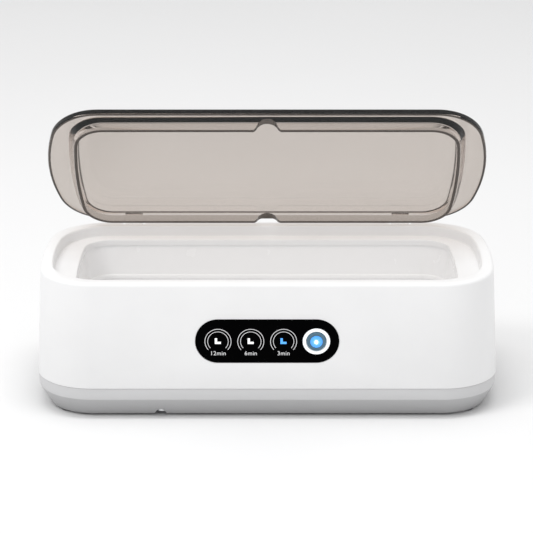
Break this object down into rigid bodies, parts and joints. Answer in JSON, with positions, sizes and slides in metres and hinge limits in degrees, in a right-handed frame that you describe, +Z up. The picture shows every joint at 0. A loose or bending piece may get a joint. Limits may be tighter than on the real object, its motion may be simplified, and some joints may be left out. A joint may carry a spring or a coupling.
{
  "type": "ultrasonic cleaner",
  "caption": "Small rounded bench-top ultrasonic cleaner: a shallow white tank in a white casing on a grey base, dial panel with push button, smoky hinged lid.",
  "frame": {"origin": "centre of the standing plane, midway between the four rubber feet", "axes": "+X to the user's right, -Y to the front where the panel is, +Z up"},
  "size_m": [0.205, 0.0941, 0.128],
  "materials": {
    "white_abs": "satin white moulded plastic",
    "grey_abs": "light grey moulded plastic",
    "tank_enamel": "white satin enamel on pressed sheet steel",
    "silicone": "translucent white silicone",
    "plated_steel": "zinc plated steel",
    "ceramic": "fired piezo ceramic with a silvered face",
    "epoxy": "cured adhesive",
    "red_wire": "red insulated lead",
    "black_wire": "black insulated lead",
    "circuit_board": "green solder mask",
    "aluminium": "extruded fins",
    "black_epoxy": "black moulded plastic",
    "ferrite": "sintered ferrite",
    "yellow_tape": "winding under yellow tape",
    "copper": "enamelled copper winding",
    "red_film": "dipped film capacitor",
    "capacitor_sleeve": "dark sleeve over an aluminium can",
    "nylon": "natural nylon",
    "ribbon_grey": "flat grey cable",
    "led_white": "white light source",
    "led_blue": "blue light source",
    "foam_tape": "thin foam tape",
    "panel_black": "glossy black window panel",
    "ring_white": "translucent white light ring",
    "button_blue": "blue-grey moulded button",
    "lens_blue": "lit blue lens",
    "smoke_clear": "smoky see-through moulded plastic",
    "pin_steel": "ground stainless pin",
    "brass": "brass",
    "foot_rubber": "soft grey rubber"
  },
  "bodies": {
    "casing": {"upper_housing": "white_abs", "base_shell": "grey_abs", "tank": "tank_enamel", "tank_gasket": "silicone", "tank_clips": "plated_steel", "tank_clip_screws": "plated_steel", "transducer_disc": "ceramic", "transducer_bond": "epoxy", "transducer_lead_red": "red_wire", "transducer_lead_black": "black_wire", "driver_board": "circuit_board", "board_screws": "plated_steel", "heat_sink": "aluminium", "power_transistors": "black_epoxy", "transformer_core": "ferrite", "transformer_winding": "yellow_tape", "ring_choke": "copper", "film_capacitors": "red_film", "electrolytic_capacitor": "capacitor_sleeve", "controller_chip": "black_epoxy", "board_connectors": "nylon", "power_lead_plus": "red_wire", "power_lead_minus": "black_wire", "ribbon_cable": "ribbon_grey", "display_board": "circuit_board", "display_board_screws": "plated_steel", "dial_leds": "led_white", "button_leds": "led_blue", "light_shroud": "black_epoxy", "dial_diffusers": "silicone", "panel_tape": "foam_tape", "panel_lens": "panel_black", "button_ring": "ring_white", "tact_switch": "plated_steel", "hinge_pin_left": "pin_steel", "hinge_pin_right": "pin_steel", "hinge_friction_washers": "brass", "dc_jack": "black_epoxy", "dc_jack_pin": "brass", "dc_jack_nut": "plated_steel", "base_screws": "plated_steel", "foot_front_left": "foot_rubber", "foot_front_right": "foot_rubber", "foot_rear_left": "foot_rubber", "foot_rear_right": "foot_rubber"},
    "lid_body": {"lid": "smoke_clear"},
    "button_body": {"button_cap": "button_blue", "button_lens": "lens_blue", "switch_plunger": "nylon"}
  },
  "joints": [
    {"name": "lid_hinge", "type": "hinge", "parent": "casing", "child": "lid_body", "pos_m": [0, 0.0433, 0.0594], "axis": [-1, 0, 0], "range_deg": [-51, 44]},
    {"name": "button_press", "type": "slide", "parent": "casing", "child": "button_body", "axis": [0, 1, 0], "range_m": [0, 0.0005], "stiffness_N_per_m": 1500}
  ]
}
